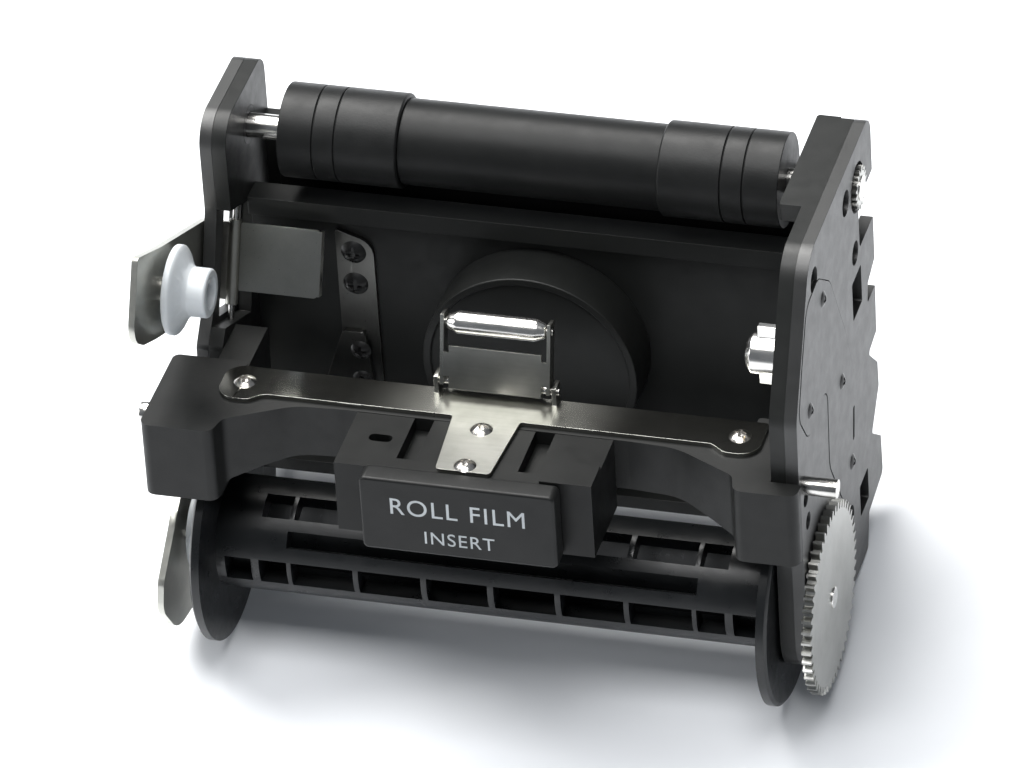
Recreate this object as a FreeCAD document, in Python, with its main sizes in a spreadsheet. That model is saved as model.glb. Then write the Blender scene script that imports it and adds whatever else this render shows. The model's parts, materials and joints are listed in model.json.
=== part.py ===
import FreeCAD, Part
import math
import os
import re
import Sketcher

# Roll-film insert for a medium-format camera back.  Every piece is drawn in the insert's own
# design axes: X along the film spools, Y from the label towards the film gate, Z up the side
# plates, zero on the axis of the take-up spool.  At the end the whole insert is leaned back
# until the spool flanges and the back corner of the side plates stand on one floor.

Vector = FreeCAD.Vector
Rotation = FreeCAD.Rotation
Placement = FreeCAD.Placement

SIZES = [
    ("wall_in", 32.95), ("plate_thick", 1.65), ("cover_thick", 1.4),
    ("plate_top", 44.7), ("plate_back", 28.7), ("plate_front", -8.1), ("plate_low", -8.3),
    ("spool_half", 32.65), ("flange_radius", 12.55), ("flange_thick", 1.2),
    ("core_radius", 6.3), ("core_bore", 4.3), ("spool_socket", 3.1), ("socket_deep", 4.2),
    ("supply_y", -1.2), ("supply_z", 32.5), ("hub_radius", 2.3), ("shaft_radius", 1.2),
    ("key_thick", 0.9), ("key_wide", 7.4), ("running_gap", 0.05),
    ("gear_teeth", 52), ("gear_module", 0.4), ("gear_face", 1.05), ("gear_start", 36.15),
    ("train_module", 0.3),
    ("roller_y", 21.9), ("roller_z", 39.3), ("roller_radius", 4.8), ("collar_radius", 5.3),
    ("roller_half", 28.3), ("collar_wide", 13.6), ("roller_shaft", 1.4),
    ("lower_y", 24.5), ("lower_z", 0.4), ("lower_radius", 1.95),
    ("wall_front", 20.0), ("wall_thick", 2.2), ("wall_top", 31.6), ("wall_low", -3.0),
    ("drum_z", 15.8), ("drum_radius", 12.25), ("drum_front", 13.8), ("drum_skin", 1.4),
    ("gate_face", 26.6), ("gate_thick", 1.4), ("gate_half", 31.0), ("gate_low", 4.6),
    ("gate_high", 33.9), ("stud_radius", 1.8), ("well_gap", 0.25),
    ("bar_top", 20.85), ("block_low", 11.55), ("block_front", -10.7), ("bar_arch", 15.0),
    ("block_inner", 28.9), ("block_outer", 37.4), ("strip_thick", 0.5),
    ("grip_half", 14.4), ("grip_front", -13.6), ("grip_low", 12.0),
    ("label_half", 10.95), ("label_front", -16.2), ("label_low", 11.8), ("label_top", 21.2),
    ("arm_start", 36.2), ("arm_thick", 0.75), ("hinge_x", 33.75), ("hinge_pin", 0.34),
    ("supply_reach", 17.6), ("takeup_reach", 16.0), ("supply_lean", 23.2), ("takeup_lean", -30.0),
    ("lever_y", 1.3), ("lever_z", 22.6), ("lever_reach", 6.9), ("lever_lean", 13.7),
    ("pin_radius", 1.05), ("pin_shank", 0.8), ("pin_y", -6.2), ("pin_z", 19.3),
    ("pin_end", 39.8), ("left_pin_end", 38.5), ("left_pin_radius", 1.2), ("groove", 0.12), ("pear_deep", 0.4),
]

doc = FreeCAD.newDocument("FilmInsert")
sheet = doc.addObject("Spreadsheet::Sheet", "Sizes")
for row, (alias, value) in enumerate(SIZES, 1):
    sheet.set("A%d" % row, alias)
    sheet.set("B%d" % row, str(value))
    sheet.setAlias("B%d" % row, alias)
doc.recompute()

ALIASES = {alias for alias, _ in SIZES}
TURNS = {
    "X": Rotation(Vector(0, 1, 0), 90),
    "Y": Rotation(Vector(1, 0, 0), -90),
    "Z": Rotation(),
}
nodes = []


# ---------------------------------------------------------------- shared helpers
def formula(text):
    """Turn 'wall_in + 2' into a spreadsheet expression."""
    def word(match):
        return "Sizes." + match.group(0) if match.group(0) in ALIASES else match.group(0)
    return re.sub(r"[a-z_]+", word, str(text))


def size(text):
    """The number that a formula of sheet cells stands for."""
    cells = {alias: float(sheet.get(alias)) for alias in ALIASES}
    total = re.sub(r"[a-z_]+", lambda match: repr(cells[match.group(0)]), str(text))
    return float(FreeCAD.Units.Quantity(total).Value)


def bind(obj, **cells):
    for name, text in cells.items():
        obj.setExpression(name, formula(text))
    return obj


def put(obj, x, y, z):
    """Bind a piece's position to the sheet."""
    for axis, text in zip("xyz", (x, y, z)):
        obj.setExpression("Placement.Base." + axis, formula(text))
    return obj


def rod(name, radius, length, x, y, z, along="X"):
    piece = doc.addObject("Part::Cylinder", name)
    piece.Placement = Placement(Vector(), TURNS[along])
    return put(bind(piece, Radius=radius, Height=length), x, y, z)


def block(name, x_span, y_span, z_span):
    """A box between two values on each axis."""
    piece = doc.addObject("Part::Box", name)
    spans = (x_span, y_span, z_span)
    lengths = ["(%s) - (%s)" % (high, low) for low, high in spans]
    bind(piece, Length=lengths[0], Width=lengths[1], Height=lengths[2])
    return put(piece, *[low for low, _ in spans])


def join(name, *pieces):
    result = doc.addObject("Part::MultiFuse", name)
    result.Shapes = list(pieces)
    return result


def cut(name, base, *tools):
    result = doc.addObject("Part::Cut", name)
    result.Base = base
    result.Tool = tools[0] if len(tools) == 1 else join(name + "_tools", *tools)
    return result


def group(name, *pieces):
    result = doc.addObject("Part::Compound", name)
    result.Links = list(pieces)
    return result


def turned(name, piece, angle, x, y, z):
    """A piece drawn about zero, leaned about X and moved to its place."""
    holder = group(name, piece)
    holder.Placement = Placement(Vector(), Rotation(Vector(1, 0, 0), angle))
    return put(holder, x, y, z)


def node(label, piece):
    """Name a finished sub-part: its label names its file."""
    holder = group("Node_" + label, piece)
    holder.Label = label
    nodes.append(holder)


def rounded(corners):
    """Lines and arcs round a closed outline of (u, v, corner radius)."""
    edges = []
    starts = []
    count = len(corners)
    for index, (u, v, radius) in enumerate(corners):
        here = Vector(u, v, 0)
        before = Vector(*corners[index - 1][:2], 0) - here
        after = Vector(*corners[(index + 1) % count][:2], 0) - here
        half = before.getAngle(after) / 2
        if radius == 0 or abs(half - math.pi / 2) < 0.01:
            starts.append((here, here))
            continue
        reach = radius / math.tan(half)
        first = here + before.normalize() * reach
        last = here + after.normalize() * reach
        bisector = (before + after).normalize()
        middle = here + bisector * (radius / math.sin(half) - radius)
        edges.append(Part.Arc(first, middle, last))
        starts.append((first, last))
    for index in range(count):
        begin = starts[index][1]
        finish = starts[(index + 1) % count][0]
        if begin.distanceToPoint(finish) > 1e-6:
            edges.append(Part.LineSegment(begin, finish))
    return edges


def origin_plane(body, role):
    return [feature for feature in body.Origin.OriginFeatures if feature.Role == role][0]


def slab(name, plane, start, thick, corners, holes=(), windows=()):
    """A sheet or moulding: an outline with round holes and windows, padded to its thickness."""
    body = doc.addObject("PartDesign::Body", name)
    sketch = body.newObject("Sketcher::SketchObject", name + "_outline")
    sketch.AttachmentSupport = [(origin_plane(body, plane), "")]
    sketch.MapMode = "FlatFace"
    sketch.setExpression("AttachmentOffset.Base.z", formula(start))
    for loop in (corners,) + tuple(windows):
        sketch.addGeometry(rounded(loop), False)
    for u, v, radius in holes:
        circle = Part.Circle(Vector(u, v, 0), Vector(0, 0, 1), size(radius))
        index = sketch.addGeometry(circle, False)
        rule = sketch.addConstraint(Sketcher.Constraint("Radius", index, size(radius)))
        sketch.setExpression("Constraints[%d]" % rule, formula(radius))
    pad = body.newObject("PartDesign::Pad", name + "_pad")
    pad.Profile = sketch
    pad.setExpression("Length", formula(thick))
    return body


def turned_body(name, profile, x="0", y="0", z="0"):
    """A turned piece: (x, radius) corners spun about the X axis through (y, z)."""
    points = [Vector(size(along), size(radius), 0) for along, radius in profile]
    body = doc.addObject("PartDesign::Body", name)
    sketch = body.newObject("Sketcher::SketchObject", name + "_profile")
    sketch.AttachmentSupport = [(origin_plane(body, "XY_Plane"), "")]
    sketch.MapMode = "FlatFace"
    for first, last in zip(points, points[1:] + points[:1]):
        sketch.addGeometry(Part.LineSegment(first, last), False)
    spin = body.newObject("PartDesign::Revolution", name + "_turn")
    spin.Profile = sketch
    spin.ReferenceAxis = (origin_plane(body, "X_Axis"), [""])
    spin.Angle = 360
    return put(group(name + "_set", body), x, y, z)


def gear(name, teeth, module, start, face, bore, y, z, turn=0.0):
    """A spur gear about an axis along X: involute flanks, slightly thinned for backlash."""
    teeth = int(size(teeth))
    pitch = size(module) * teeth / 2
    tip = pitch + size(module)
    root = pitch - 1.25 * size(module)
    base = pitch * math.cos(math.radians(20))
    thin = 0.06 * size(module) / pitch
    half_at_pitch = math.pi / (2 * teeth) - thin
    involute_at_pitch = math.tan(math.radians(20)) - math.radians(20)
    flank = []
    for step in range(4):
        radius = max(base, root) + (tip - max(base, root)) * step / 3
        angle = math.acos(min(1.0, base / radius))
        half = half_at_pitch + involute_at_pitch - (math.tan(angle) - angle)
        flank.append((radius, max(half, 0.004)))
    points = []
    for tooth in range(teeth):
        middle = 2 * math.pi * tooth / teeth + math.radians(turn)
        points.append((root, middle - flank[0][1]))
        points += [(radius, middle - half) for radius, half in flank]
        points += [(radius, middle + half) for radius, half in reversed(flank)]
        points.append((root, middle + flank[0][1]))
    ring = [Vector(0, radius * math.cos(angle), radius * math.sin(angle)) for radius, angle in points]
    outline = Part.Face(Part.makePolygon(ring + ring[:1]))
    wheel = outline.extrude(Vector(size(face), 0, 0))
    hole = Part.makeCylinder(size(bore), size(face), Vector(), Vector(1, 0, 0))
    blank = doc.addObject("Part::Feature", name)
    blank.Shape = wheel.cut(hole)
    blank.Placement = Placement(Vector(size(start), size(y), size(z)), Rotation())
    return group(name + "_set", blank)


def screws(name, places, head_radius, head_high, face, sign, shank_radius, shank, along):
    """Identical domed screws, each with a cross recess, standing on a face."""
    pieces = []
    for index, place in enumerate(places):
        pieces.append(screw("%s_%d" % (name, index), place, head_radius, head_high, face, sign,
                            shank_radius, shank, along))
    return group(name, *pieces)


def screw(name, place, head_radius, head_high, face, sign, shank_radius, shank, along):
    ball = (head_radius ** 2 + head_high ** 2) / (2 * head_high)
    dome = Part.makeSphere(ball)
    dome.translate(Vector(0, 0, head_high - ball))
    head = Part.makeCylinder(head_radius, head_high).common(dome)
    stem = Part.makeCylinder(shank_radius, shank, Vector(0, 0, -shank))
    solid = head.fuse(stem)
    arm = head_radius * 0.55
    slot = head_radius * 0.16
    for long_side, short_side in ((arm, slot), (slot, arm)):
        corner = Vector(-long_side, -short_side, head_high * 0.45)
        solid = solid.cut(Part.makeBox(2 * long_side, 2 * short_side, head_high, corner))
    piece = doc.addObject("Part::Feature", name)
    piece.Shape = solid
    turn = {"X": Rotation(Vector(0, 1, 0), 90 * sign), "Z": Rotation(),
            "Y": Rotation(Vector(1, 0, 0), -90 * sign)}[along]
    u, v = place
    base = {"X": Vector(face, u, v), "Y": Vector(u, face, v), "Z": Vector(u, v, face)}[along]
    piece.Placement = Placement(base, turn)
    return piece


# ---------------------------------------------------------------- side plates
RIGHT_FRONT = [
    (0.0, size("plate_top"), 4.5), (size("plate_front"), 28.5, 4.0),
    (size("plate_front"), 13.0, 1.0), (-7.4, 9.0, 1.0), (-7.4, -7.4, 6.6), (6.0, -7.4, 2.0),
    (9.0, size("plate_low"), 2.0), (20.7, size("plate_low"), 0.6), (21.8, -4.1, 0.4),
]
RIGHT_TEETH = [
    (28.6, -3.3, 0.8), (28.3, 1.8, 0.3), (24.4, 4.8, 0.4), (28.2, 8.8, 0.3), (28.0, 12.0, 0.3),
    (24.1, 15.7, 0.4), (28.0, 16.2, 0.3), (28.2, 22.3, 0.3), (24.5, 22.3, 0.3), (25.0, 24.6, 0.3),
    (28.4, 25.7, 0.4), (28.4, 31.3, 0.3), (22.0, 31.3, 0.5), (22.0, 37.2, 0.5), (28.7, 37.2, 0.3),
    (size("plate_back"), size("plate_top"), 2.4),
]
PEAR = [
    (3.3, 39.7, 2.6), (8.4, 36.0, 5.0), (14.2, 25.5, 8.0), (17.9, 16.2, 8.0), (17.2, 5.6, 3.5),
    (10.4, 5.5, 1.6), (5.2, 13.8, 4.0), (5.6, 24.6, 2.0), (-3.2, 23.2, 3.0), (-7.0, 28.4, 2.5),
    (-4.9, 33.4, 4.0), (-1.9, 39.5, 2.6),
]
TRAIN = [("supply_gear", 19, 0.0), ("middle_gear", 20, -14.14), ("idler_gear", 17, -40.23),
         ("counter_gear", 16, -92.62)]
SQUARE_HOLES = [
    [(18.0, 24.2, 0.3), (22.2, 24.2, 0.3), (22.2, 29.0, 0.3), (18.0, 29.0, 0.3)],
    [(18.0, -2.1, 0.3), (21.9, -2.1, 0.3), (21.9, 1.9, 0.3), (18.0, 1.9, 0.3)],
]
CURVED_SLOTS = [
    [(15.6, 9.9, 0.2), (16.3, 9.9, 0.2), (16.9, 13.9, 0.2), (16.2, 13.9, 0.2)],
]
COVER_HOLES = [(13.6, 0.8, 1.5), (1.8, 40.6, 1.5), (19.9, 32.0, 1.4), (16.6, 40.7, 1.5)]
BAR_SCREW_SPOTS = [(-5.4, 17.0), (-4.8, 13.6)]
LEFT_SCREW_SPOTS = [(9.2, 17.6), (9.2, 14.6)]
COVER_SCREW_SPOTS = [(5.0, 36.0), (11.8, 20.5), (-2.3, 26.4), (14.9, 7.6)]


def grown(corners, gap):
    """A clockwise outline moved outwards by a gap."""
    result = []
    for index, (u, v, radius) in enumerate(corners):
        before = Vector(u - corners[index - 1][0], v - corners[index - 1][1], 0).normalize()
        following = corners[(index + 1) % len(corners)]
        after = Vector(following[0] - u, following[1] - v, 0).normalize()
        first, second = Vector(-before.y, before.x, 0), Vector(-after.y, after.x, 0)
        shift = (first + second) * (gap / (1 + first.dot(second)))
        outward = gap if before.cross(after).z < 0 else -gap
        result.append((u + shift.x, v + shift.y, radius + outward))
    return result


def right_side():
    bores = [("takeup", 0.0, 0.0), ("supply", size("supply_y"), size("supply_z"))]
    bush_holes = [(y, z, "hub_radius + 0.9") for _, y, z in bores]
    roller_hole = [(size("roller_y"), size("roller_z"), "roller_shaft + 0.8")]
    lower_hole = [(size("lower_y"), size("lower_z"), "shaft_radius + 0.4")]
    screw_holes = [(y, z, 0.55) for y, z in BAR_SCREW_SPOTS]
    inner_edge = [(26.9, -4.1, 0.4), (26.9, 37.2, 0.4), (28.3, 37.2, 0.3), (28.3, 42.2, 0.6), (27.2, size("plate_top"), 0.6)]
    plate = slab("right_inner", "YZ_Plane", "wall_in", "plate_thick", RIGHT_FRONT + inner_edge,
                 bush_holes + roller_hole + lower_hole + screw_holes, SQUARE_HOLES)
    lip = slab("right_lip", "XY_Plane", "plate_top - 2.1", 2.1,
               [(size("wall_in") + 0.2, 9.4, 0), (30.5, 9.4, 0.3), (30.5, 27.2, 0.4),
                (size("wall_in") + 0.2, 27.2, 0)])
    ear = block("right_ear", ("28.6", "wall_in + 0.2"), ("26.95", "28.3"), ("34.2", "37.3"))
    ear_rail = block("right_ear_rail", ("wall_in - 1.2", "wall_in + 0.9"), ("26.4", "28.3"), ("32.0", "40.0"))
    slot = block("pin_seat", ("wall_in + 0.8", "wall_in + plate_thick"), ("pin_y - 1.9", "pin_y + 1.9"),
                 ("pin_z - 3.6", "pin_z + 1.2"))
    body = join("right_plate_body", plate, lip, ear, ear_rail)
    node("right_side_plate", cut("right_plate_set", body, slot))

    pockets = [(y, z, 1.0) for y, z in BAR_SCREW_SPOTS] + COVER_HOLES
    pockets += [(y, z, 0.45) for y, z in COVER_SCREW_SPOTS]
    shaft_holes = [(0.0, 0.0, "shaft_radius + 0.5"),
                   (size("roller_y"), size("roller_z"), "roller_shaft + 0.4")]
    pin_hole = [(size("pin_y"), size("pin_z"), "pin_shank")]
    cover = slab("right_outer", "YZ_Plane", "wall_in + plate_thick", "cover_thick",
                 RIGHT_FRONT + RIGHT_TEETH, pockets + shaft_holes + pin_hole,
                 SQUARE_HOLES + CURVED_SLOTS)
    wells = [rod("well_%d" % i, "(%d / 2 + 1) * train_module + well_gap" % count, "cover_thick + 1",
                 "wall_in + plate_thick - 0.5", y, z)
             for i, (_, count, y, z, _) in enumerate(train_layout())]
    wells.append(rod("pinion_well", "2.9", "cover_thick + 1", "wall_in + plate_thick - 0.5",
                     "roller_y", "roller_z"))
    pocket = slab("pear_pocket", "YZ_Plane", "wall_in + plate_thick + cover_thick - pear_deep", 2,
                  grown(PEAR, size("groove")))
    node("right_side_cover", cut("right_cover_set", cover, pocket, *wells))


def left_side():
    outline = [
        (13.2, size("plate_top"), 3.5), (13.2, 33.4, 3.0), (9.2, 22.6, 1.5), (6.4, 19.6, 1.0),
        (6.4, 13.6, 1.0), (9.2, 8.6, 1.5), (13.6, 0.4, 2.0), (14.0, size("plate_low"), 1.0),
        (20.7, size("plate_low"), 0.6), (21.8, -4.1, 0.4), (28.6, -3.3, 0.8),
        (size("plate_back"), size("plate_top"), 2.4),
    ]
    roller_hole = [(size("roller_y"), size("roller_z"), "roller_shaft + 0.8")]
    lower_hole = [(size("lower_y"), size("lower_z"), "shaft_radius + 0.4")]
    bar_screw = [(y, z, 0.55) for y, z in LEFT_SCREW_SPOTS]
    bar_pocket = [(y, z, 1.0) for y, z in LEFT_SCREW_SPOTS]
    sheet_body = slab("left_inner", "YZ_Plane", "-wall_in - plate_thick", "plate_thick", outline,
                      roller_hole + lower_hole + bar_screw)
    ear = block("left_ear", ("-wall_in - 0.2", "-28.6"), ("26.95", "28.5"), ("34.2", "37.3"))
    rail = block("left_rail", ("-wall_in - 0.2", "-31.3"), ("26.95", "28.5"), ("26.0", "37.3"))
    inner = join("left_inner_set", sheet_body, ear, rail)
    outer = slab("left_outer", "YZ_Plane", "-wall_in - plate_thick - cover_thick", "cover_thick",
                 outline, bar_pocket)
    rooms = []
    for arm in ("supply", "takeup"):
        room = block(arm + "_room_box", ("-wall_in - plate_thick - 0.5", "-wall_in + 0.5"),
                     ("-5.0", "5.2"), ("-6.6", "6.6"))
        rooms.append(turned(arm + "_room", room, arm_lean(arm), *hinge_place(arm)))
    node("left_side_plate", cut("left_plate_set", inner, *rooms))
    slots = []
    for arm in ("supply", "takeup"):
        slots.append(turned(arm + "_slot", block(arm + "_slot_box", ("-wall_in - 4", "-wall_in"),
                                                 ("-1.8", "5.0"), ("-6.0", "6.0")),
                            arm_lean(arm), *hinge_place(arm)))
    node("left_side_cover", cut("left_cover_set", outer, *slots))


def arm_lean(arm):
    """Turn about X that leans a piece drawn upright to the arm's hinge, in degrees."""
    return -size(arm + "_lean")


def arm_axes(arm):
    """Unit vectors in the side plane: forward along the arm, and up along its hinge."""
    lean = math.radians(size(arm + "_lean"))
    return (-math.cos(lean), math.sin(lean)), (math.sin(lean), math.cos(lean))


def hinge_place(arm):
    """Middle of the arm's hinge pin, as formulas for a piece drawn about zero."""
    y, z = lean_point(arm, 0, 0)
    return "0", "%.4f" % y, "%.4f" % z


def lean_point(arm, forward, up):
    """The (y, z) of a point given along the arm from its hinge."""
    along, across = arm_axes(arm)
    hub = (size("supply_y"), size("supply_z")) if arm == "supply" else (0.0, 0.0)
    reach = size(arm + "_reach")
    return tuple(hub[i] + along[i] * (forward - reach) + across[i] * up for i in range(2))


def covers():
    holes = [(y, z, 0.5) for y, z in COVER_SCREW_SPOTS]
    node("gear_cover", slab("pear_cover", "YZ_Plane", "wall_in + plate_thick + cover_thick - pear_deep",
                            "pear_deep + 0.05", PEAR, holes, CURVED_SLOTS))
    face = size("wall_in + plate_thick + cover_thick + 0.05")
    node("gear_cover_screws", screws("cover_screw", COVER_SCREW_SPOTS, 0.95, 0.35, face, 1, 0.45, 1.2, "X"))
    deep = size("wall_in + plate_thick")
    right = [screw("bar_screw_right_%d" % i, spot, 0.95, 0.5, deep, 1, 0.5, 4.5, "X")
             for i, spot in enumerate(BAR_SCREW_SPOTS)]
    left = [screw("bar_screw_left_%d" % i, spot, 0.95, 0.5, -deep, -1, 0.5, 4.5, "X")
            for i, spot in enumerate(LEFT_SCREW_SPOTS)]
    node("crossbar_side_screws", group("bar_screws", *right, *left))


# ---------------------------------------------------------------- back wall and film gate
BRACKET_SPOTS = [(-21.2, 25.4), (-21.2, 21.2)]
LOWER_BRACKET_SPOTS = [(-21.0, 12.6), (-21.0, 8.6)]


def back_wall():
    web = block("wall_web", ("-wall_in", "wall_in"), ("wall_front", "wall_front + wall_thick"),
                ("wall_low", "wall_top"))
    rim = block("wall_rim", ("-wall_in", "wall_in"), ("wall_front - 1.0", "wall_front + 0.2"),
                ("wall_top - 2.3", "wall_top"))
    foot = block("wall_foot", ("-wall_in", "wall_in"), ("wall_front - 4.0", "wall_front + 0.2"),
                 ("wall_low", "wall_low + 1.6"))
    bore = rod("stud_bore", "stud_radius + 0.9", "wall_thick + 2", "0", "wall_front - 1", "drum_z", "Y")
    seats = [rod("bracket_seat_%d" % i, "0.6", "1.7", x, "wall_front - 0.1", z, "Y")
             for i, (x, z) in enumerate(BRACKET_SPOTS + LOWER_BRACKET_SPOTS)]
    node("back_wall", cut("back_wall_set", join("wall_body", web, rim, foot), bore, *seats))

    drum = rod("drum_outer", "drum_radius", "wall_front - drum_front", "0", "drum_front", "drum_z", "Y")
    room = rod("drum_room", "drum_radius - drum_skin", "wall_front - drum_front", "0",
               "drum_front + drum_skin", "drum_z", "Y")
    dish = rod("drum_dish", "drum_radius - 0.9", "0.4", "0", "drum_front - 0.01", "drum_z", "Y")
    node("plate_spring_drum", cut("drum_set", drum, room, dish))

    bush = rod("bush_body", "stud_radius + 0.9", "wall_thick", "0", "wall_front", "drum_z", "Y")
    bush_bore = rod("bush_bore", "stud_radius + 0.03", "wall_thick + 2", "0", "wall_front - 1", "drum_z", "Y")
    node("stud_bush", cut("bush_set", bush, bush_bore))

    plate = slab("gate_plate", "XZ_Plane", "-gate_face", "gate_thick",
                 [(-size("gate_half"), size("gate_low"), 1.5), (size("gate_half"), size("gate_low"), 1.5),
                  (size("gate_half"), size("gate_high"), 1.5), (-size("gate_half"), size("gate_high"), 1.5)])
    node("pressure_plate", plate)
    stud = rod("stud_rod", "stud_radius", "gate_face - gate_thick - 17.6", "0", "17.6", "drum_z", "Y")
    collar = rod("stud_collar", "stud_radius + 1.9", "0.8", "0", "wall_front - 0.85", "drum_z", "Y")
    node("pressure_plate_stud", join("stud_set", stud, collar))

    coil = size("stud_radius") + 0.45
    path = Part.Wire(Part.makeLongHelix(0.6, 2.1, coil).Edges)
    ring = Part.Wire(Part.makeCircle(0.17, Vector(coil, 0, 0), Vector(0, 1, 0)))
    spring = doc.addObject("Part::Feature", "plate_spring_wire")
    spring.Shape = path.makePipeShell([ring], True, True)
    place = Vector(0, size("wall_front") - 1.05, size("drum_z"))
    spring.Placement = Placement(place, Rotation(Vector(1, 0, 0), 90))
    node("plate_spring", spring)


# ---------------------------------------------------------------- crossbar, grip and strip
def crossbar():
    outer, inner, front = size("block_outer"), size("block_inner"), size("block_front")
    step, face = size("plate_front") - 0.25, size("wall_in") - 0.05
    plan = [
        (-outer, 3.0, 0.8), (-outer, front, 1.2), (-29.3, front, 1.2), (-28.6, -8.0, 1.4), (-21.5, -4.2, 8.0),
        (-16.0, -3.9, 2.0), (16.0, -3.9, 2.0), (21.5, -4.2, 8.0), (28.6, -8.0, 1.4), (29.3, front, 1.2),
        (36.3, front, 1.2), (36.3, step, 0.3), (face, step, 0), (face, 3.0, 0.3), (inner, 3.0, 0.4),
        (inner, 1.2, 0.3), (-inner, 1.2, 0.3), (-inner, 3.0, 0.4),
    ]
    body = slab("bar_plan", "XY_Plane", "block_low", "bar_top - block_low", plan)
    tongue = block("bar_tongue", ("-wall_in + 0.05", "-block_inner - 0.3"), ("2.0", "11.4"),
                   ("block_low + 0.6", "bar_top - 1.2"))
    arch = rod("bar_arch_cut", "bar_arch", "2 * block_inner", "-block_inner", "0", "0")
    flange_room = rod("flange_room", "flange_radius + 0.5", "2 * wall_in + 0.6", "-wall_in - 0.3", "0", "0")
    pin_seat = rod("left_seat", "pin_shank", "2.5", "-block_outer", "pin_y", "pin_z")
    strip_seats = [rod("seat_%d" % i, "0.5", "3.4", x, "-1.4", "bar_top - 3.2", "Z")
                   for i, x in enumerate(("-27.9", "27.9"))]
    right_seats = [rod("side_seat_%d" % i, "0.5", "3.4", "wall_in - 3.2", "%s" % y, "%s" % z)
                   for i, (y, z) in enumerate(BAR_SCREW_SPOTS)]
    left_seats = [rod("tongue_seat_%d" % i, "0.5", "3.4", "-wall_in - 0.2", "%s" % y, "%s" % z)
                  for i, (y, z) in enumerate(LEFT_SCREW_SPOTS)]
    node("crossbar", cut("bar_set", join("bar_body", body, tongue), arch, flange_room, pin_seat,
                         *strip_seats, *right_seats, *left_seats))


def locating_pins():
    """A pin at each end of the crossbar: a free end and a thinner shank pressed into its seat."""
    free = rod("left_pin_free", "left_pin_radius", "left_pin_end - block_outer", "-left_pin_end",
               "pin_y", "pin_z")
    shank = rod("left_pin_shank", "pin_shank", "2.6", "-block_outer - 0.1", "pin_y", "pin_z")
    node("locating_pin_left", join("left_pin_set", free, shank))

    face = "wall_in + plate_thick + cover_thick"
    free = rod("right_pin_free", "pin_radius", "pin_end - (%s)" % face, face, "pin_y", "pin_z")
    shank = rod("right_pin_shank", "pin_shank", "cover_thick + 0.9", "wall_in + plate_thick - 0.8",
                "pin_y", "pin_z")
    tab = block("right_pin_tab", ("wall_in + plate_thick - 0.75", "wall_in + plate_thick - 0.05"),
                ("pin_y - 1.6", "pin_y + 1.6"), ("pin_z - 3.4", "pin_z"))
    y, z = BAR_SCREW_SPOTS[0]
    tab_hole = rod("tab_hole", "0.55", "3", "wall_in", "%s" % y, "%s" % z)
    node("locating_pin_right", cut("right_pin_cut", join("right_pin_set", free, shank, tab), tab_hole))


def grip():
    base = block("grip_base", ("-grip_half", "grip_half"), ("grip_front", "-4.0"), ("grip_low", "bar_top"))
    pad = block("grip_pad", ("8.6", "grip_half"), ("grip_front", "-9.6"), ("bar_top - 1", "bar_top + 0.55"))
    web = block("grip_web", ("-grip_half + 0.6", "grip_half - 0.6"), ("-4.1", "0.9"),
                ("block_low + 0.9", "bar_arch - 0.7"))
    grooves = [block("groove_%d" % i, (low, high), ("-11.6", "-2.6"), ("bar_top - 1.6", "bar_top + 1"))
               for i, (low, high) in enumerate([("-7.9", "-5.7"), ("5.7", "7.9")])]
    hole = slab("grip_hole", "XY_Plane", "bar_top - 3", 4,
                [(-11.9, -8.9, 0.6), (-9.3, -8.9, 0.6), (-9.3, -7.6, 0.6), (-11.9, -7.6, 0.6)])
    seats = [rod("stem_seat_%d" % i, "0.5", "3.4", "0", y, "bar_top - 3.2", "Z")
             for i, y in enumerate(("-5.4", "-12.2"))]
    node("grip_block", cut("grip_set", join("grip_body", base, web, pad), hole, *grooves, *seats))
    plate = slab("label_outline", "XZ_Plane", "-grip_front", "grip_front - label_front",
                 [(-size("label_half"), size("label_low"), 0.7), (size("label_half"), size("label_low"), 0.7),
                  (size("label_half"), size("label_top"), 0.7), (-size("label_half"), size("label_top"), 0.7)])
    node("label_plate", plate)


def strip():
    half = 30.5
    outline = [
        (half, 1.5, 0.5), (half, -4.6, 2.2), (26.8, -4.6, 1.4), (25.2, -3.3, 1.4), (3.8, -3.3, 0.4),
        (3.05, -13.3, 0.5), (-3.05, -13.3, 0.5), (-3.8, -3.3, 0.4), (-25.2, -3.3, 1.4),
        (-26.8, -4.6, 1.4), (-half, -4.6, 2.2), (-half, 1.5, 2.0),
    ]
    spots = [(-27.9, -1.4), (27.9, -1.4), (0.0, -5.4), (0.0, -12.2)]
    sheet_metal = slab("strip_sheet", "XY_Plane", "bar_top", "strip_thick", outline,
                       [(x, y, 0.55) for x, y in spots])
    ears = []
    for index, (low, high) in enumerate([("-6.9", "-6.4"), ("6.4", "6.9")]):
        ear = block("strip_ear_%d" % index, (low, high), ("lever_y - 0.9", "lever_y + 0.9"),
                    ("bar_top + 0.1", "lever_z + 0.9"))
        bore = rod("ear_bore_%d" % index, "0.4", "2", "%s - 0.7" % low, "lever_y", "lever_z")
        ears.append(cut("strip_ear_cut_%d" % index, ear, bore))
    node("t_strip", join("strip_set", sheet_metal, *ears))
    node("t_strip_screws", screws("strip_screw", spots, 1.25, 0.55, size("bar_top + strip_thick"), 1,
                                  0.5, 3.2, "Z"))
    node("tension_hinge_pin", group("tension_pin_set", rod("tension_pin", "0.4", "14.2", "-7.1", "lever_y",
                                                           "lever_z")))


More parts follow.
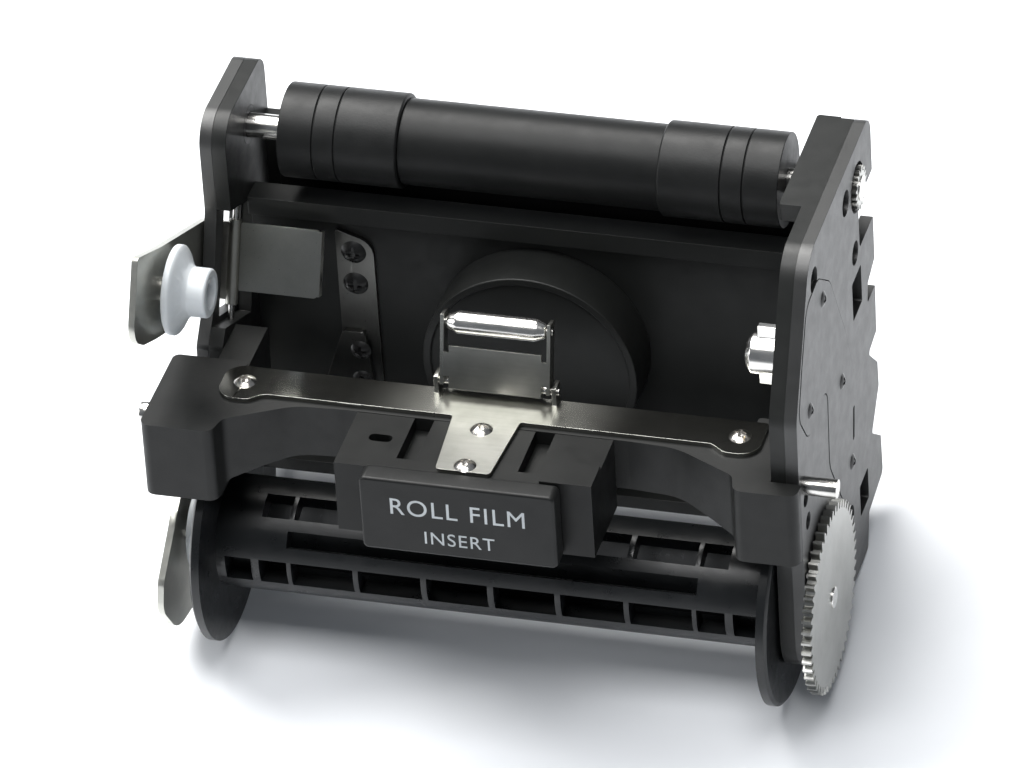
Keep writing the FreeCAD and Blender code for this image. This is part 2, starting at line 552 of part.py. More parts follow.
def brackets():
    upper = slab("bracket_upper", "XZ_Plane", "-wall_front", 0.6,
                 [(-23.2, 5.0, 0.2), (-18.8, 5.0, 0.2), (-18.9, 26.8, 2.4), (-23.2, 28.2, 0.3)],
                 [(x, z, 0.7) for x, z in BRACKET_SPOTS + LOWER_BRACKET_SPOTS])
    node("wall_bracket", upper)
    lower = slab("bracket_lower", "XZ_Plane", "-wall_front + 0.6", 0.6,
                 [(-26.0, 6.0, 0.2), (-19.6, 6.0, 0.2), (-20.4, 15.0, 0.5), (-23.0, 15.0, 0.5)],
                 [(x, z, 0.7) for x, z in LOWER_BRACKET_SPOTS])
    node("lower_bracket", lower)
    front = size("wall_front - 0.6")
    heads = [screw("bracket_screw_%d" % i, spot, 1.45, 0.6, front, -1, 0.6, 1.6, "Y")
             for i, spot in enumerate(BRACKET_SPOTS)]
    lower_heads = [screw("lower_bracket_screw_%d" % i, spot, 1.2, 0.5, front - 0.6, -1, 0.6, 2.2, "Y")
                   for i, spot in enumerate(LOWER_BRACKET_SPOTS)]
    node("bracket_screws", group("bracket_screw_set", *heads, *lower_heads))


# ---------------------------------------------------------------- rollers
def upper_roller():
    y, z = "roller_y", "roller_z"
    node("roller_sleeve", cut("sleeve_set", rod("sleeve", "roller_radius", "2 * (roller_half - collar_wide)",
                                                "-roller_half + collar_wide", y, z),
                              rod("sleeve_bore", "roller_shaft", "80", "-40", y, z)))
    for side, sign in (("left", -1), ("right", 1)):
        steps = [(0, 0), (0, 5.3), (3.9, 5.3), (3.9, 5.12), (4.05, 5.12), (4.05, 5.3), (6.4, 5.3), (6.4, 5.12),
                 (6.55, 5.12), (6.55, 5.3), (13.4, 5.3), (13.6, 5.1), (13.6, 0)]
        grown = size("collar_radius") / 5.3
        profile = [(sign * (size("roller_half") - along), radius * grown) for along, radius in steps]
        collar = turned_body("collar_" + side, profile, "0", y, z)
        hole = rod("collar_bore_" + side, "roller_shaft", "80", "-40", y, z)
        node("roller_collar_" + side, cut("collar_cut_" + side, collar, hole))
    node("roller_shaft", group("shaft_set", rod("shaft", "roller_shaft", "wall_in + plate_thick + 36.6",
                                                "-wall_in - plate_thick", y, z)))
    node("roller_gear", gear("roller_pinion", 18, "0.25", "gear_start - 0.9", "1.2", "roller_shaft", y, z))
    bushes = []
    for side, start in (("left", "-wall_in - plate_thick"), ("right", "wall_in")):
        outer = rod("roller_bush_body_" + side, "roller_shaft + 0.8", "plate_thick", start, y, z)
        inner = rod("roller_bush_bore_" + side, "roller_shaft + running_gap", "80", "-40", y, z)
        bushes.append(cut("roller_bush_" + side, outer, inner))
    node("roller_bushes", group("roller_bush_set", *bushes))


def lower_roller():
    y, z = "lower_y", "lower_z"
    sleeve = rod("lower_sleeve", "lower_radius", "61.0", "-30.5", y, z)
    bore = rod("lower_sleeve_bore", "shaft_radius", "80", "-40", y, z)
    node("lower_roller_sleeve", cut("lower_sleeve_set", sleeve, bore))
    node("lower_roller_shaft", group("lower_shaft_set", rod("lower_shaft", "shaft_radius",
                                                            "2 * (wall_in + plate_thick)",
                                                            "-wall_in - plate_thick", y, z)))
    bushes = []
    for side, start in (("left", "-wall_in - plate_thick"), ("right", "wall_in")):
        outer = rod("lower_bush_body_" + side, "shaft_radius + 0.4", "plate_thick", start, y, z)
        inner = rod("lower_bush_bore_" + side, "shaft_radius + running_gap", "80", "-40", y, z)
        bushes.append(cut("lower_bush_" + side, outer, inner))
    node("lower_roller_bushes", group("lower_bush_set", *bushes))


# ---------------------------------------------------------------- spool arms on the left side
def swing_arm(arm, outline, bend):
    """Stamped plate with a flared tip, a web through the side plate's window and a hinge barrel."""
    lean = arm_lean(arm)
    place = hinge_place(arm)
    reach = size(arm + "_reach")
    corners = [(-along, up, radius) for along, up, radius in outline]
    flat = slab(arm + "_plate", "YZ_Plane", "-arm_start - arm_thick", "arm_thick", corners,
                [(-reach, 0, "shaft_radius - 0.2")])
    sheet_metal = slab(arm + "_tip_sheet", "YZ_Plane", "-arm_thick", "arm_thick",
                       [(u + bend, v, radius) for u, v, radius in corners])
    beyond = block(arm + "_beyond", ("-arm_start - 2", "-arm_start + 1"), ("-40", "-%s" % bend),
                   ("-20", "20"))
    near = block(arm + "_near", ("-2", "1"), ("0", "40"), ("-20", "20"))
    tip = group(arm + "_tip", cut(arm + "_tip_cut", sheet_metal, near))
    tip.Placement = Placement(Vector(), Rotation(Vector(0, 0, 1), -4))
    put(tip, "-arm_start", "-%s" % bend, "0")
    web = block(arm + "_web", ("-arm_start - arm_thick", "-hinge_x - 0.3"), ("0.0", "0.6"), ("-4.4", "4.4"))
    barrel = rod(arm + "_barrel", "hinge_pin + 0.36", "9.6", "-hinge_x", "0", "-4.8", "Z")
    bore = rod(arm + "_barrel_bore", "hinge_pin + running_gap", "20", "-hinge_x", "0", "-10", "Z")
    plate = join(arm + "_arm_parts", cut(arm + "_flat", flat, beyond), tip, web, barrel)
    node(arm + "_arm", turned(arm + "_arm_set", cut(arm + "_arm_body", plate, bore), lean, *place))
    pin = rod(arm + "_pin", "hinge_pin", "13.8", "-hinge_x", "0", "-6.9", "Z")
    node(arm + "_hinge_pin", turned(arm + "_pin_set", pin, lean, *place))


def spool_hub(arm, y, z):
    """Nylon hub that turns on a riveted spindle, seen from the film side as a cone and a boss."""
    profile = [
        (-35.3, 1.07), (-35.3, 5.0), (-34.6, 5.0), (-34.3, 4.6), (-33.6, 3.2), (-33.1, 2.75), (-31.2, 2.75),
        (-31.0, 2.55), (-31.0, 1.8), (-33.0, 1.8), (-33.0, 1.07),
    ]
    node(arm + "_hub", turned_body(arm + "_hub_body", profile, "0", y, z))
    spindle = [
        (-37.35, 0), (-37.35, 1.4), (-36.95, 1.7), (-36.95, 1.0), (-36.2, 1.0), (-36.2, 1.8), (-35.7, 1.8),
        (-35.7, 1.0), (-33.0, 1.0), (-32.6, 1.3), (-32.3, 1.0), (-32.3, 0),
    ]
    node(arm + "_spindle", turned_body(arm + "_spindle_body", spindle, "0", y, z))


def spool_arms():
    swing_arm("supply", [(-0.9, -4.4, 0), (-0.9, 4.4, 0), (3.0, 5.1, 1.0), (27.0, 5.1, 0.5),
                         (27.2, -4.2, 2.5), (24.0, -5.1, 2.0), (3.0, -5.1, 1.0)], 20.2)
    spool_hub("supply", "supply_y", "supply_z")
    swing_arm("takeup", [(-0.9, -4.4, 0), (-0.9, 4.4, 0), (8.0, 6.0, 4.0), (18.0, 6.0, 5.0), (25.0, 3.4, 2.0),
                         (27.2, 0.6, 3.0), (26.4, -6.0, 5.0), (21.5, -9.2, 4.0), (9.0, -7.0, 6.0)], 19.0)
    spool_hub("takeup", "0", "0")
    leaf = slab("leaf_sheet", "XZ_Plane", "-0.2", 0.4,
                [(-size("hinge_x") + 0.72, -3.2, 0.2), (-23.9, -3.2, 0.5), (-23.9, 4.5, 0.5),
                 (-size("hinge_x") + 0.72, 4.5, 0.2)])
    lip = block("leaf_lip", ("-24.05", "-23.7"), ("-0.2", "0.9"), ("-3.0", "4.3"))
    node("spool_ejector_leaf", turned("leaf_set", join("leaf_body", leaf, lip), arm_lean("supply"),
                                      *hinge_place("supply")))


# ---------------------------------------------------------------- film spool and its drives
CORE_WINDOWS = [(0.35, 7.3), (7.95, 15.1), (15.7, 22.8), (23.3, 26.5), (27.4, 30.4)]


def takeup_spool():
    half = size("spool_half")
    edge = half - size("flange_thick")
    profile = [
        (-half, 0), (-half, size("flange_radius") - 0.4), (-half + 0.3, size("flange_radius")),
        (-edge, size("flange_radius")), (-edge, size("core_radius")), (edge, size("core_radius")),
        (edge, size("flange_radius")), (half - 0.3, size("flange_radius")),
        (half, size("flange_radius") - 0.4), (half, 0),
    ]
    tools = [rod("spool_hollow", "core_bore", "2 * (spool_half - socket_deep - 1.2)",
                 "-spool_half + socket_deep + 1.2", "0", "0")]
    tools += [rod("socket_left", "spool_socket", "socket_deep + 1", "-spool_half - 1", "0", "0"),
              rod("socket_right", "spool_socket", "socket_deep + 1", "spool_half - socket_deep", "0", "0")]
    for name, start in (("key_slot_left", "-spool_half - 1"), ("key_slot_right", "spool_half - socket_deep")):
        tools.append(block(name, (start, "(%s) + socket_deep + 1" % start), ("-0.9", "0.9"), ("-4.9", "4.9")))
    for index, (low, high) in enumerate(CORE_WINDOWS):
        for side in (-1, 1):
            ends = [str(side * value) for value in sorted((low, high), key=lambda value: value * side)]
            tag = "%d_%s" % (index, "ab"[side > 0])
            tools.append(block("core_window_" + tag, ends, ("-core_radius - 1", "-3.6"), ("-2.35", "0.85")))
            if high < size("spool_half - socket_deep - 1.2"):
                upper = block("upper_window_box_" + tag, ends, ("-core_radius - 1", "-3.0"), ("-1.5", "1.5"))
                tools.append(turned("upper_window_" + tag, upper, -66.5, "0", "0", "0"))
    slot = block("film_slot_box", ("-23.3", "23.3"), ("-0.95", "0.95"), ("3", "8"))
    tools.append(turned("film_slot", slot, 58, "0", "0", "0"))
    node("takeup_spool", cut("spool_set", turned_body("spool_body", profile), *tools))


def drive(name, y, z, shaft_end):
    """Chromed hub with a cross key, on a shaft through its bush."""
    hub = turned_body(name + "_hub_turned", [(29.2, 0), (29.2, 1.7), (29.8, "hub_radius"), (32.85, "hub_radius"),
                                             (32.85, 0)], "0", y, z)
    key = block(name + "_key", ("30.4", "32.6"), ("(%s) - key_thick / 2" % y, "(%s) + key_thick / 2" % y),
                ("(%s) - key_wide / 2" % z, "(%s) + key_wide / 2" % z))
    shaft = rod(name + "_shaft", "shaft_radius", "(%s) - 32.8" % shaft_end, "32.8", y, z)
    node(name + "_drive_hub", join(name + "_drive_set", hub, key, shaft))
    bush = rod(name + "_bush_body", "hub_radius + 0.9", "plate_thick", "wall_in", y, z)
    bore = rod(name + "_bush_bore", "shaft_radius + running_gap", "4", "wall_in - 1", y, z)
    return cut(name + "_bush", bush, bore)


def drives():
    takeup = drive("takeup", "0", "0", "gear_start + gear_face + 0.2")
    supply = drive("supply", "supply_y", "supply_z", "wall_in + plate_thick + 0.95")
    node("drive_bushes", group("drive_bush_set", takeup, supply))
    node("takeup_gear", gear("takeup_wheel", "gear_teeth", "gear_module", "gear_start", "gear_face",
                             "shaft_radius", "0", "0"))


def train_layout():
    """Name, teeth, centre and turn of each hidden gear, every one in mesh with the one before."""
    layout = []
    y, z, turn = size("supply_y"), size("supply_z"), 0.0
    before = 0
    for name, count, heading in TRAIN:
        if before:
            span = size("train_module") * (before + count) / 2 + 0.03
            y += span * math.cos(math.radians(heading))
            z += span * math.sin(math.radians(heading))
            lead = (heading - turn) * before / 360.0
            turn = heading + 180.0 + (0.5 + lead) * 360.0 / count
        layout.append((name, count, "%.4f" % y, "%.4f" % z, turn))
        before = count
    return layout


def gear_train():
    """Four hidden gears between the pear-shaped cover and the side plate."""
    for name, count, y, z, turn in train_layout():
        bore = "shaft_radius" if name == "supply_gear" else "0.8 + running_gap"
        node(name, gear(name + "_wheel", count, "train_module", "wall_in + plate_thick + 0.1", "0.8",
                        bore, y, z, turn))
    studs = [rod("gear_stud_%d" % i, "0.8", "0.95", "wall_in + plate_thick", y, z)
             for i, (_, _, y, z, _) in enumerate(train_layout()[1:])]
    node("gear_studs", group("gear_stud_set", *studs))


# ---------------------------------------------------------------- film tension roller
def tension():
    """Sprung frame, hinged on the T strip, that holds a small steel roller against the film roll."""
    lean = -size("lever_lean")
    place = ("0", "lever_y", "lever_z")
    plate = block("lever_plate", ("-5.2", "5.2"), ("-0.95", "-0.6"), ("-0.6", "4.4"))
    sides = [block("lever_side_%d" % i, (low, high), ("-0.95", "0.8"), ("-0.2", "8.0"))
             for i, (low, high) in enumerate([("-6.2", "-5.8"), ("5.8", "6.2")])]
    joints = [block("lever_joint_%d" % i, (low, high), ("-0.95", "-0.6"), ("0.8", "3.6"))
              for i, (low, high) in enumerate([("-6.0", "-5.0"), ("5.0", "6.0")])]
    barrel = rod("lever_barrel", "0.8", "10.4", "-5.2", "0", "0")
    bore = rod("lever_bore", "0.4 + running_gap", "20", "-10", "0", "0")
    axle_bore = rod("lever_axle_bore", "0.4", "20", "-10", "0", "lever_reach")
    web = block("lever_web", ("-5.2", "5.2"), ("-0.8", "-0.5"), ("-0.3", "0.3"))
    frame = cut("lever_cut", join("lever_parts", plate, web, barrel, *sides, *joints), bore, axle_bore)
    node("tension_lever", turned("lever_set", frame, lean, *place))
    axle = rod("tension_axle_rod", "0.4", "12.6", "-6.3", "0", "lever_reach")
    node("tension_axle", turned("axle_set", axle, lean, *place))
    profile = [(-5.55, 0.45), (-5.55, 0.8), (-4.3, 1.28), (4.3, 1.28), (5.55, 0.8), (5.55, 0.45)]
    roller = turned_body("tension_roller_body", profile, "0", "0", "lever_reach")
    node("tension_roller", turned("tension_roller_set", roller, lean, *place))


# ---------------------------------------------------------------- stand it on the floor
def floor_lean():
    """Angle between the side plates and upright when flanges and back corner share a floor."""
    corner_y, corner_z = 20.7, size("plate_low")
    far = math.hypot(corner_y, corner_z)
    down = math.degrees(math.atan2(-corner_z, corner_y))
    return math.degrees(math.asin(size("flange_radius") / far)) - down


def stand_up():
    """Lean the insert back and move it to the bottom centre of its own box."""
    lean = Placement(Vector(), Rotation(Vector(1, 0, 0), -floor_lean()))
    box = FreeCAD.BoundBox()
    for piece in nodes:
        moved = piece.Shape.copy()
        moved.Placement = lean
        for point in moved.tessellate(0.02)[0]:
            box.add(point)
    shift = Vector(-(box.XMin + box.XMax) / 2, -(box.YMin + box.YMax) / 2, -box.ZMin)
    for piece in nodes:
        piece.Placement = Placement(shift, lean.Rotation)
    print("lean %.4f shift %.5f %.5f %.5f" % (floor_lean(), shift.x, shift.y, shift.z))
    print("size %.2f %.2f %.2f" % (box.XLength, box.YLength, box.ZLength))


def check():
    faults = []
    for obj in doc.Objects:
        if "Invalid" in obj.State or "Error" in obj.State:
            faults.append(obj.Name)
    for piece in nodes:
        if piece.Shape.isNull() or not piece.Shape.isValid() or not piece.Shape.Solids:
            faults.append(piece.Label)
    if faults:
        raise RuntimeError("failed objects: " + ", ".join(faults))


right_side()
left_side()
covers()
back_wall()
crossbar()
locating_pins()
grip()
strip()
brackets()
upper_roller()
lower_roller()
spool_arms()
takeup_spool()
drives()
gear_train()
tension()
doc.recompute()
stand_up()
doc.recompute()
check()
os.makedirs("parts", exist_ok=True)
for piece in nodes:
    piece.Shape.exportStep("parts/%s.step" % piece.Label)
print(len(nodes), "nodes")
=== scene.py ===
import json
import math

import bpy
from mathutils import Matrix, Vector


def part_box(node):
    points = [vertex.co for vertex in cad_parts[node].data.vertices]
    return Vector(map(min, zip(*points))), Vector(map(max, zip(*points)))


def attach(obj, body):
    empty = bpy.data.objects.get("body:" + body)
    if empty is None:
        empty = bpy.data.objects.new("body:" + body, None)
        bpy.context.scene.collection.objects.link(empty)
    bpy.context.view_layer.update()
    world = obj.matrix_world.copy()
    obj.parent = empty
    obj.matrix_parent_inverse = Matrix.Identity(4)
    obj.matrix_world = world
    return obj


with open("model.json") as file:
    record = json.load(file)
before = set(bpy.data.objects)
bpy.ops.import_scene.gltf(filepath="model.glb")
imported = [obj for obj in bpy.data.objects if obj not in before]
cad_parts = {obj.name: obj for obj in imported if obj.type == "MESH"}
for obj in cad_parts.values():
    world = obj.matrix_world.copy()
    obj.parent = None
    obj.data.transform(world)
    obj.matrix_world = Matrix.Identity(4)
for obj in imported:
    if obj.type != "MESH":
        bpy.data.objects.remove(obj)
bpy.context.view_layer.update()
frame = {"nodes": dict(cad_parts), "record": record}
nodes = frame["nodes"]
body_of_node = {n: b for b, ns in frame["record"]["behaviour"]["bodies"].items() for n in ns}
slot_of_node = {s["node"]: s["material_slot"] for s in frame["record"]["subparts"]}

# The insert's own design axes lean back by LEAN degrees from the row frame.
LEAN = 12.3956
TAKEUP = (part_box("takeup_spool")[0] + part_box("takeup_spool")[1]) / 2
DESIGN = Matrix.Translation(TAKEUP) @ Matrix.Rotation(math.radians(-LEAN), 4, "X")


def at(x, y, z):
    """A point given in millimetres of the design axes, in the row frame."""
    return DESIGN @ Vector((x / 1000, y / 1000, z / 1000))


# ------------------------------------------------------------------ materials
GRAIN_HEIGHT = 0.00003
SCRATCH_HEIGHT = 0.00002


class Graph:
    """Short way of writing a material's nodes."""

    def __init__(self, name):
        self.material = bpy.data.materials.new(name)
        self.material.use_nodes = True
        self.tree = self.material.node_tree
        self.shader = self.tree.nodes["Principled BSDF"]
        self.coords = self.add("ShaderNodeTexCoord").outputs["Object"]

    def add(self, kind, **values):
        node = self.tree.nodes.new(kind)
        for name, value in values.items():
            setattr(node, name, value)
        return node

    def link(self, source, target):
        self.tree.links.new(source, target)

    def stretched(self, scale):
        mapping = self.add("ShaderNodeMapping")
        mapping.inputs["Scale"].default_value = scale
        self.link(self.coords, mapping.inputs["Vector"])
        return mapping.outputs["Vector"]

    def noise(self, scale, detail=4.0, vector=None, rough=0.55):
        node = self.add("ShaderNodeTexNoise")
        node.inputs["Scale"].default_value = scale
        node.inputs["Detail"].default_value = detail
        node.inputs["Roughness"].default_value = rough
        self.link(vector or self.coords, node.inputs["Vector"])
        return node.outputs["Fac"]

    def ramp(self, value, low, high, low_at=0.35, high_at=0.65):
        """Map a noise value to a range of numbers or colours."""
        node = self.add("ShaderNodeMapRange") if isinstance(low, (int, float)) else None
        if node:
            node.inputs["From Min"].default_value = low_at
            node.inputs["From Max"].default_value = high_at
            node.inputs["To Min"].default_value = low
            node.inputs["To Max"].default_value = high
            self.link(value, node.inputs["Value"])
            return node.outputs["Result"]
        node = self.add("ShaderNodeValToRGB")
        node.color_ramp.elements[0].position = low_at
        node.color_ramp.elements[0].color = (*low, 1)
        node.color_ramp.elements[1].position = high_at
        node.color_ramp.elements[1].color = (*high, 1)
        self.link(value, node.inputs["Fac"])
        return node.outputs["Color"]

    def bump(self, value, strength, distance):
        node = self.add("ShaderNodeBump")
        node.inputs["Strength"].default_value = strength
        node.inputs["Distance"].default_value = distance
        self.link(value, node.inputs["Height"])
        return node


def plastic(name, dark, light, rough=(0.36, 0.5), grain=9000.0, grain_depth=0.25, specular=0.45):
    """Moulded plastic or lacquer: fine spark-eroded grain, cloudy sheen, faint handling marks."""
    g = Graph(name)
    cloud = g.noise(160.0, 5.0)
    g.link(g.ramp(cloud, dark, light), g.shader.inputs["Base Color"])
    smear = g.noise(420.0, 6.0, rough=0.7)
    g.link(g.ramp(smear, rough[0], rough[1]), g.shader.inputs["Roughness"])
    g.shader.inputs["Specular IOR Level"].default_value = specular
    fine = g.bump(g.noise(grain, 2.0), grain_depth, GRAIN_HEIGHT)
    g.link(fine.outputs["Normal"], g.shader.inputs["Normal"])
    return g.material


def metal(name, dark, light, rough, along=(1, 1, 1), scale=900.0, scratch=0.12):
    """Brushed or plated metal: streaks along one direction, fine scratches, slight tarnish."""
    g = Graph(name)
    g.shader.inputs["Metallic"].default_value = 1.0
    streak = g.noise(scale, 8.0, g.stretched(along), rough=0.65)
    tarnish = g.noise(230.0, 4.0)
    mix = g.add("ShaderNodeMix", data_type="RGBA", blend_type="MULTIPLY")
    mix.inputs["Factor"].default_value = 0.5
    g.link(g.ramp(tarnish, dark, light, 0.3, 0.6), mix.inputs["A"])
    g.link(g.ramp(streak, dark, light, 0.35, 0.6), mix.inputs["B"])
    g.link(mix.outputs["Result"], g.shader.inputs["Base Color"])
    g.link(g.ramp(streak, rough[0], rough[1], 0.3, 0.7), g.shader.inputs["Roughness"])
    lines = g.bump(streak, scratch, SCRATCH_HEIGHT)
    g.link(lines.outputs["Normal"], g.shader.inputs["Normal"])
    return g.material


BLACK = (0.0040, 0.0044, 0.0046)
SOFT_BLACK = (0.0064, 0.0070, 0.0072)
LOOKS = {
    "body_black": plastic("body_black", (0.0120, 0.0128, 0.0122), (0.0160, 0.0168, 0.0162), (0.36, 0.46),
                          specular=0.33),
    "cover_black": plastic("cover_black", (0.010, 0.0105, 0.0103), (0.013, 0.0135, 0.0133), (0.42, 0.50),
                           grain=5200, grain_depth=0.4, specular=0.9),
    "bar_black": plastic("bar_black", (0.0075, 0.008, 0.0078), (0.0105, 0.011, 0.0108), (0.42, 0.52),
                         grain=5200, grain_depth=0.4, specular=0.30),
    "grip_black": plastic("grip_black", (0.0042, 0.0046, 0.0044), (0.0065, 0.007, 0.0068), (0.36, 0.44),
                          grain=5200, grain_depth=0.3, specular=0.24),
    "label_black": plastic("label_black", (0.0075, 0.008, 0.008), (0.0105, 0.011, 0.011), (0.38, 0.48),
                           grain=6500, grain_depth=0.35, specular=0.26),
    "strip_steel": metal("strip_steel", (0.46, 0.46, 0.43), (0.58, 0.58, 0.55), (0.22, 0.30), (0.05, 1, 1),
                         2600, 0.03),
    "arm_steel": metal("arm_steel", (0.54, 0.54, 0.51), (0.64, 0.64, 0.60), (0.34, 0.42), (1, 0.4, 0.4),
                       3500, 0.03),
    "leaf_steel": metal("leaf_steel", (0.50, 0.50, 0.47), (0.57, 0.57, 0.54), (0.27, 0.31), (1, 1, 0.05),
                        7000, 0.015),
    "bracket_steel": metal("bracket_steel", (0.20, 0.20, 0.19), (0.25, 0.25, 0.24), (0.27, 0.32),
                           (1, 1, 0.06), 7000, 0.015),
    "screw_black": plastic("screw_black", (0.006, 0.006, 0.006), (0.014, 0.014, 0.014), (0.24, 0.34),
                           specular=0.5),
    "screw_bright": metal("screw_bright", (0.62, 0.60, 0.57), (0.88, 0.86, 0.83), (0.16, 0.26), scale=3000),
    "pin_steel": metal("pin_steel", (0.60, 0.59, 0.57), (0.84, 0.83, 0.81), (0.16, 0.26), (0.15, 1, 1),
                       3000, 0.06),
    "hub_chrome": metal("hub_chrome", (0.82, 0.81, 0.79), (0.94, 0.93, 0.91), (0.16, 0.26), (0.2, 1, 1),
                        2600, 0.03),
    "gear_metal": metal("gear_metal", (0.48, 0.48, 0.46), (0.58, 0.58, 0.56), (0.28, 0.38), scale=2400,
                        scratch=0.05),
    "gear_brass": metal("gear_brass", (0.50, 0.38, 0.18), (0.80, 0.64, 0.34), (0.24, 0.38), scale=2400),
    "bush_brass": metal("bush_brass", (0.48, 0.37, 0.18), (0.78, 0.63, 0.34), (0.24, 0.38), scale=2400),
    "bush_black": plastic("bush_black", BLACK, SOFT_BLACK, (0.34, 0.46), specular=0.35),
    "nylon_white": plastic("nylon_white", (0.50, 0.53, 0.55), (0.58, 0.61, 0.63), (0.34, 0.44), grain=4000,
                           grain_depth=0.12, specular=0.45),
    "spool_black": plastic("spool_black", (0.0065, 0.0075, 0.0082), (0.0095, 0.0105, 0.0115), (0.26, 0.38),
                           grain=8000, grain_depth=0.2, specular=0.42),
    "roller_black": plastic("roller_black", (0.0085, 0.009, 0.009), (0.0115, 0.012, 0.012), (0.38, 0.46),
                            grain=7000, grain_depth=0.22, specular=0.19),
    "collar_black": plastic("collar_black", (0.0075, 0.008, 0.008), (0.0105, 0.011, 0.011), (0.38, 0.48),
                            grain=5200, grain_depth=0.35, specular=0.26),
    "plate_black": plastic("plate_black", (0.008, 0.008, 0.0085), (0.012, 0.012, 0.0125), (0.30, 0.42)),
    "spring_steel": metal("spring_steel", (0.45, 0.44, 0.42), (0.75, 0.74, 0.72), (0.2, 0.34), scale=3000),
}
# The strip's roughness is graded along X, which follows the tones of the photo: bright middle, dark ends.
DULL_TO, POLISHED_FROM = 0.003, 0.017
DULL, POLISHED = 0.30, 0.13
strip = LOOKS["strip_steel"].node_tree
across = strip.nodes.new("ShaderNodeSeparateXYZ")
strip.links.new(strip.nodes["Texture Coordinate"].outputs["Object"], across.inputs["Vector"])
away = strip.nodes.new("ShaderNodeMath")
away.operation = "ABSOLUTE"
strip.links.new(across.outputs["X"], away.inputs[0])
dull = strip.nodes.new("ShaderNodeMapRange")
dull.interpolation_type = "SMOOTHSTEP"
for socket, value in (("From Min", DULL_TO), ("From Max", POLISHED_FROM),
                      ("To Min", DULL), ("To Max", POLISHED)):
    dull.inputs[socket].default_value = value
strip.links.new(away.outputs["Value"], dull.inputs["Value"])
strip.links.new(dull.outputs["Result"], strip.nodes["Principled BSDF"].inputs["Roughness"])
nylon = LOOKS["nylon_white"].node_tree.nodes["Principled BSDF"]
nylon.inputs["Subsurface Weight"].default_value = 0.35
nylon.inputs["Subsurface Radius"].default_value = (0.0012, 0.0011, 0.001)
nylon.inputs["Subsurface Scale"].default_value = 1.0

# ------------------------------------------------------------------ rounded edges on the CAD nodes
# Radius in millimetres by slot; a slot that is not named keeps its CAD edges.
WELD_WITHIN = 1e-6
FLAT_WITHIN = math.radians(0.6)
BEVEL_OVER = math.radians(32)
SHARP_OVER = math.radians(28)
ROUND = {
    "body_black": 0.18, "cover_black": 0.14, "bar_black": 0.42, "grip_black": 0.30, "label_black": 0.34,
    "strip_steel": 0.06, "arm_steel": 0.16, "leaf_steel": 0.06, "bracket_steel": 0.08,
    "hub_chrome": 0.10, "nylon_white": 0.12, "spool_black": 0.10, "collar_black": 0.1,
    "roller_black": 0.1, "plate_black": 0.15, "pin_steel": 0.08,
}
for name, obj in nodes.items():
    slot = slot_of_node[name]
    obj.data.materials.clear()
    obj.data.materials.append(LOOKS[slot])
    radius = ROUND.get(slot, 0.0)
    if radius:
        weld = obj.modifiers.new("weld", "WELD")
        weld.merge_threshold = WELD_WITHIN
        flat = obj.modifiers.new("flat", "DECIMATE")
        flat.decimate_type = "DISSOLVE"
        flat.angle_limit = FLAT_WITHIN
        bevel = obj.modifiers.new("bevel", "BEVEL")
        bevel.width = radius / 1000
        bevel.segments = 2
        bevel.limit_method = "ANGLE"
        bevel.angle_limit = BEVEL_OVER
        bevel.use_clamp_overlap = True
        weighted = obj.modifiers.new("weighted", "WEIGHTED_NORMAL")
        weighted.weight = 100
        weighted.keep_sharp = True
    for face in obj.data.polygons:
        face.use_smooth = True
    obj.data.set_sharp_from_angle(angle=SHARP_OVER)

# ------------------------------------------------------------------ lettering on the label plate
LABEL_FRONT = -16.2
INK_PROUD = 0.005
INK_THICK = 0.012
ink = plastic("ink_white", (0.42, 0.45, 0.47), (0.50, 0.53, 0.55), (0.45, 0.55), grain=3000, grain_depth=0.1)


def lettering(name, text, height, x, z):
    """White generic lettering, a hair proud of the label's front face."""
    font = bpy.data.curves.new(name, "FONT")
    font.body = text
    font.size = height
    font.align_x = "CENTER"
    font.extrude = INK_THICK
    font.space_character = 1.12
    drawn = bpy.data.objects.new(name + "_curve", font)
    bpy.context.collection.objects.link(drawn)
    bpy.context.view_layer.update()
    mesh = bpy.data.meshes.new_from_object(drawn)
    bpy.data.objects.remove(drawn)
    bpy.data.curves.remove(font)
    mesh.name = name
    turn = Matrix.Rotation(math.radians(90 - LEAN), 4, "X")
    mesh.transform(Matrix.Translation(at(x, LABEL_FRONT - INK_PROUD, z)) @ turn @ Matrix.Scale(0.001, 4))
    mesh.materials.clear()
    mesh.materials.append(ink)
    obj = bpy.data.objects.new(name, mesh)
    bpy.context.collection.objects.link(obj)
    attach(obj, body_of_node["label_plate"])


lettering("label_line_upper", "ROLL FILM", 3.0, 0.0, 16.8)
lettering("label_line_lower", "INSERT", 2.3, 0.0, 13.3)

# ------------------------------------------------------------------ dark sheet inside the take-up spool's core, painted shade
# In the visual model only: the STEP spool is hollow here, and nothing in the photo shows this wall; this
# dark sheet is painted shade that keeps the inside of the bore dark.
SHADE_SHEET_HALF_LENGTH, SHADE_SHEET_HALF_WIDE, SHADE_SHEET_THICK = 27.35, 4.4, 0.5
shade_sheet_corners = [at(x, y, z) for x in (-SHADE_SHEET_HALF_LENGTH, SHADE_SHEET_HALF_LENGTH)
               for y in (0.0, SHADE_SHEET_THICK) for z in (-SHADE_SHEET_HALF_WIDE, SHADE_SHEET_HALF_WIDE)]
shade_sheet_mesh = bpy.data.meshes.new("spool_core_shade_sheet")
shade_sheet_mesh.from_pydata(shade_sheet_corners, [], [(0, 1, 3, 2), (4, 6, 7, 5), (0, 4, 5, 1), (2, 3, 7, 6), (0, 2, 6, 4),
                                       (1, 5, 7, 3)])
shade_sheet_mesh.materials.append(LOOKS["spool_black"])
shade_sheet = bpy.data.objects.new("spool_core_shade_sheet", shade_sheet_mesh)
bpy.context.collection.objects.link(shade_sheet)
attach(shade_sheet, body_of_node["takeup_spool"])

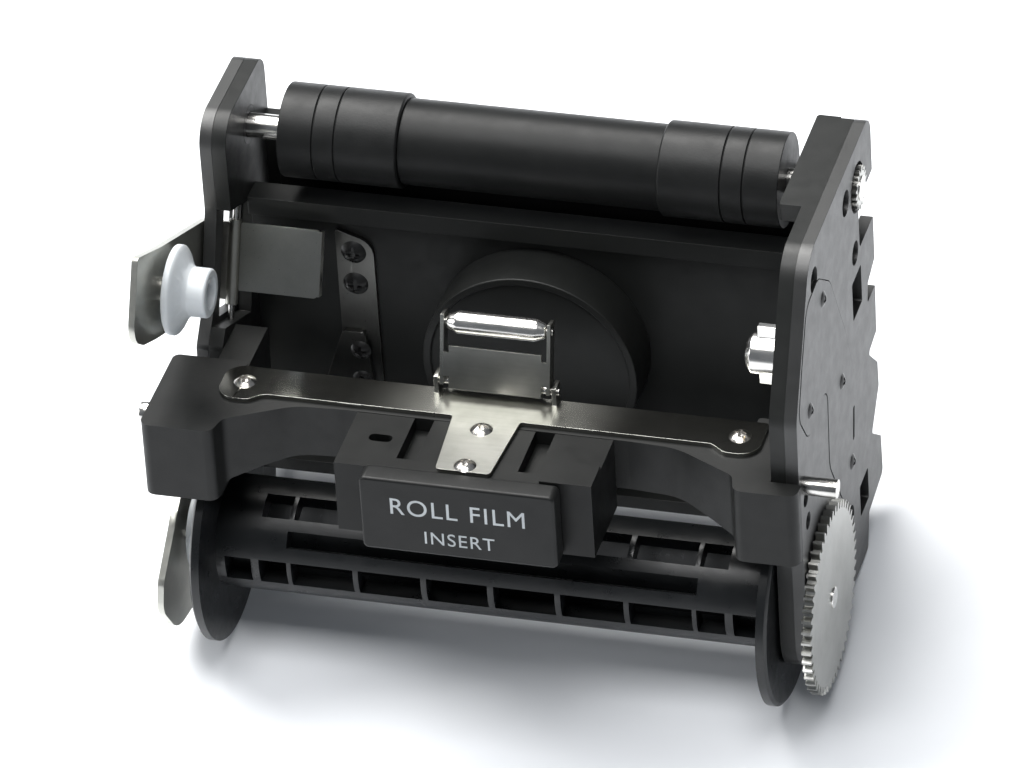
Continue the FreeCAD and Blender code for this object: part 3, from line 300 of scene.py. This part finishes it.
# ------------------------------------------------------------------ floor, light, camera
floor_mesh = bpy.data.meshes.new("floor")
FLOOR_HALF = 3
floor_mesh.from_pydata([(-FLOOR_HALF, -FLOOR_HALF, 0), (FLOOR_HALF, -FLOOR_HALF, 0),
                        (FLOOR_HALF, FLOOR_HALF, 0), (-FLOOR_HALF, FLOOR_HALF, 0)], [], [(0, 1, 2, 3)])
floor = bpy.data.objects.new("floor", floor_mesh)
bpy.context.collection.objects.link(floor)
paper = Graph("paper")
paper_tone = paper.ramp(paper.noise(60.0), (0.80, 0.82, 0.85), (0.82, 0.84, 0.87))
paper.link(paper_tone, paper.shader.inputs["Base Color"])
SKY = (0.86, 0.92, 1.0, 1)
paper.shader.inputs["Roughness"].default_value = 0.6
paper.shader.inputs["Emission Color"].default_value = SKY
paper.shader.inputs["Emission Strength"].default_value = 0.04
floor.data.materials.append(paper.material)


def area_light(name, position, target, width, height, watts, colour=(1, 1, 1)):
    """A rectangular light that looks at a target."""
    data = bpy.data.lights.new(name, "AREA")
    data.shape = "RECTANGLE"
    data.size, data.size_y = width, height
    data.energy = watts
    data.color = colour
    light = bpy.data.objects.new(name, data)
    light.location = position
    light.rotation_euler = (Vector(target) - Vector(position)).to_track_quat("-Z", "Y").to_euler()
    bpy.context.collection.objects.link(light)


middle = (0.0, 0.0, 0.025)
area_light("window", (-0.34, 0.36, 0.74), middle, 0.80, 0.45, 14.5, (1.0, 0.99, 0.97))
area_light("ceiling", (0.0, -0.12, 0.95), middle, 0.60, 0.45, 6.5)
area_light("left", (-0.80, -0.35, 0.40), middle, 0.35, 0.35, 2.0)

world = bpy.data.worlds.new("studio")
world.use_nodes = True
world.node_tree.nodes["Background"].inputs["Color"].default_value = SKY
world.node_tree.nodes["Background"].inputs["Strength"].default_value = 0.16
bpy.context.scene.world = world
bpy.context.scene.view_settings.view_transform = "Standard"

camera = bpy.data.objects.new("camera", bpy.data.cameras.new("camera"))
camera.data.lens = 314.5
camera.data.sensor_width = 36
camera.data.clip_start = 0.05
camera.location = (0.236294, -0.631122, 0.742241)
camera.rotation_euler = [math.radians(a) for a in (43.0038, 6.19086, 14.0161)]
bpy.context.collection.objects.link(camera)
bpy.context.scene.camera = camera
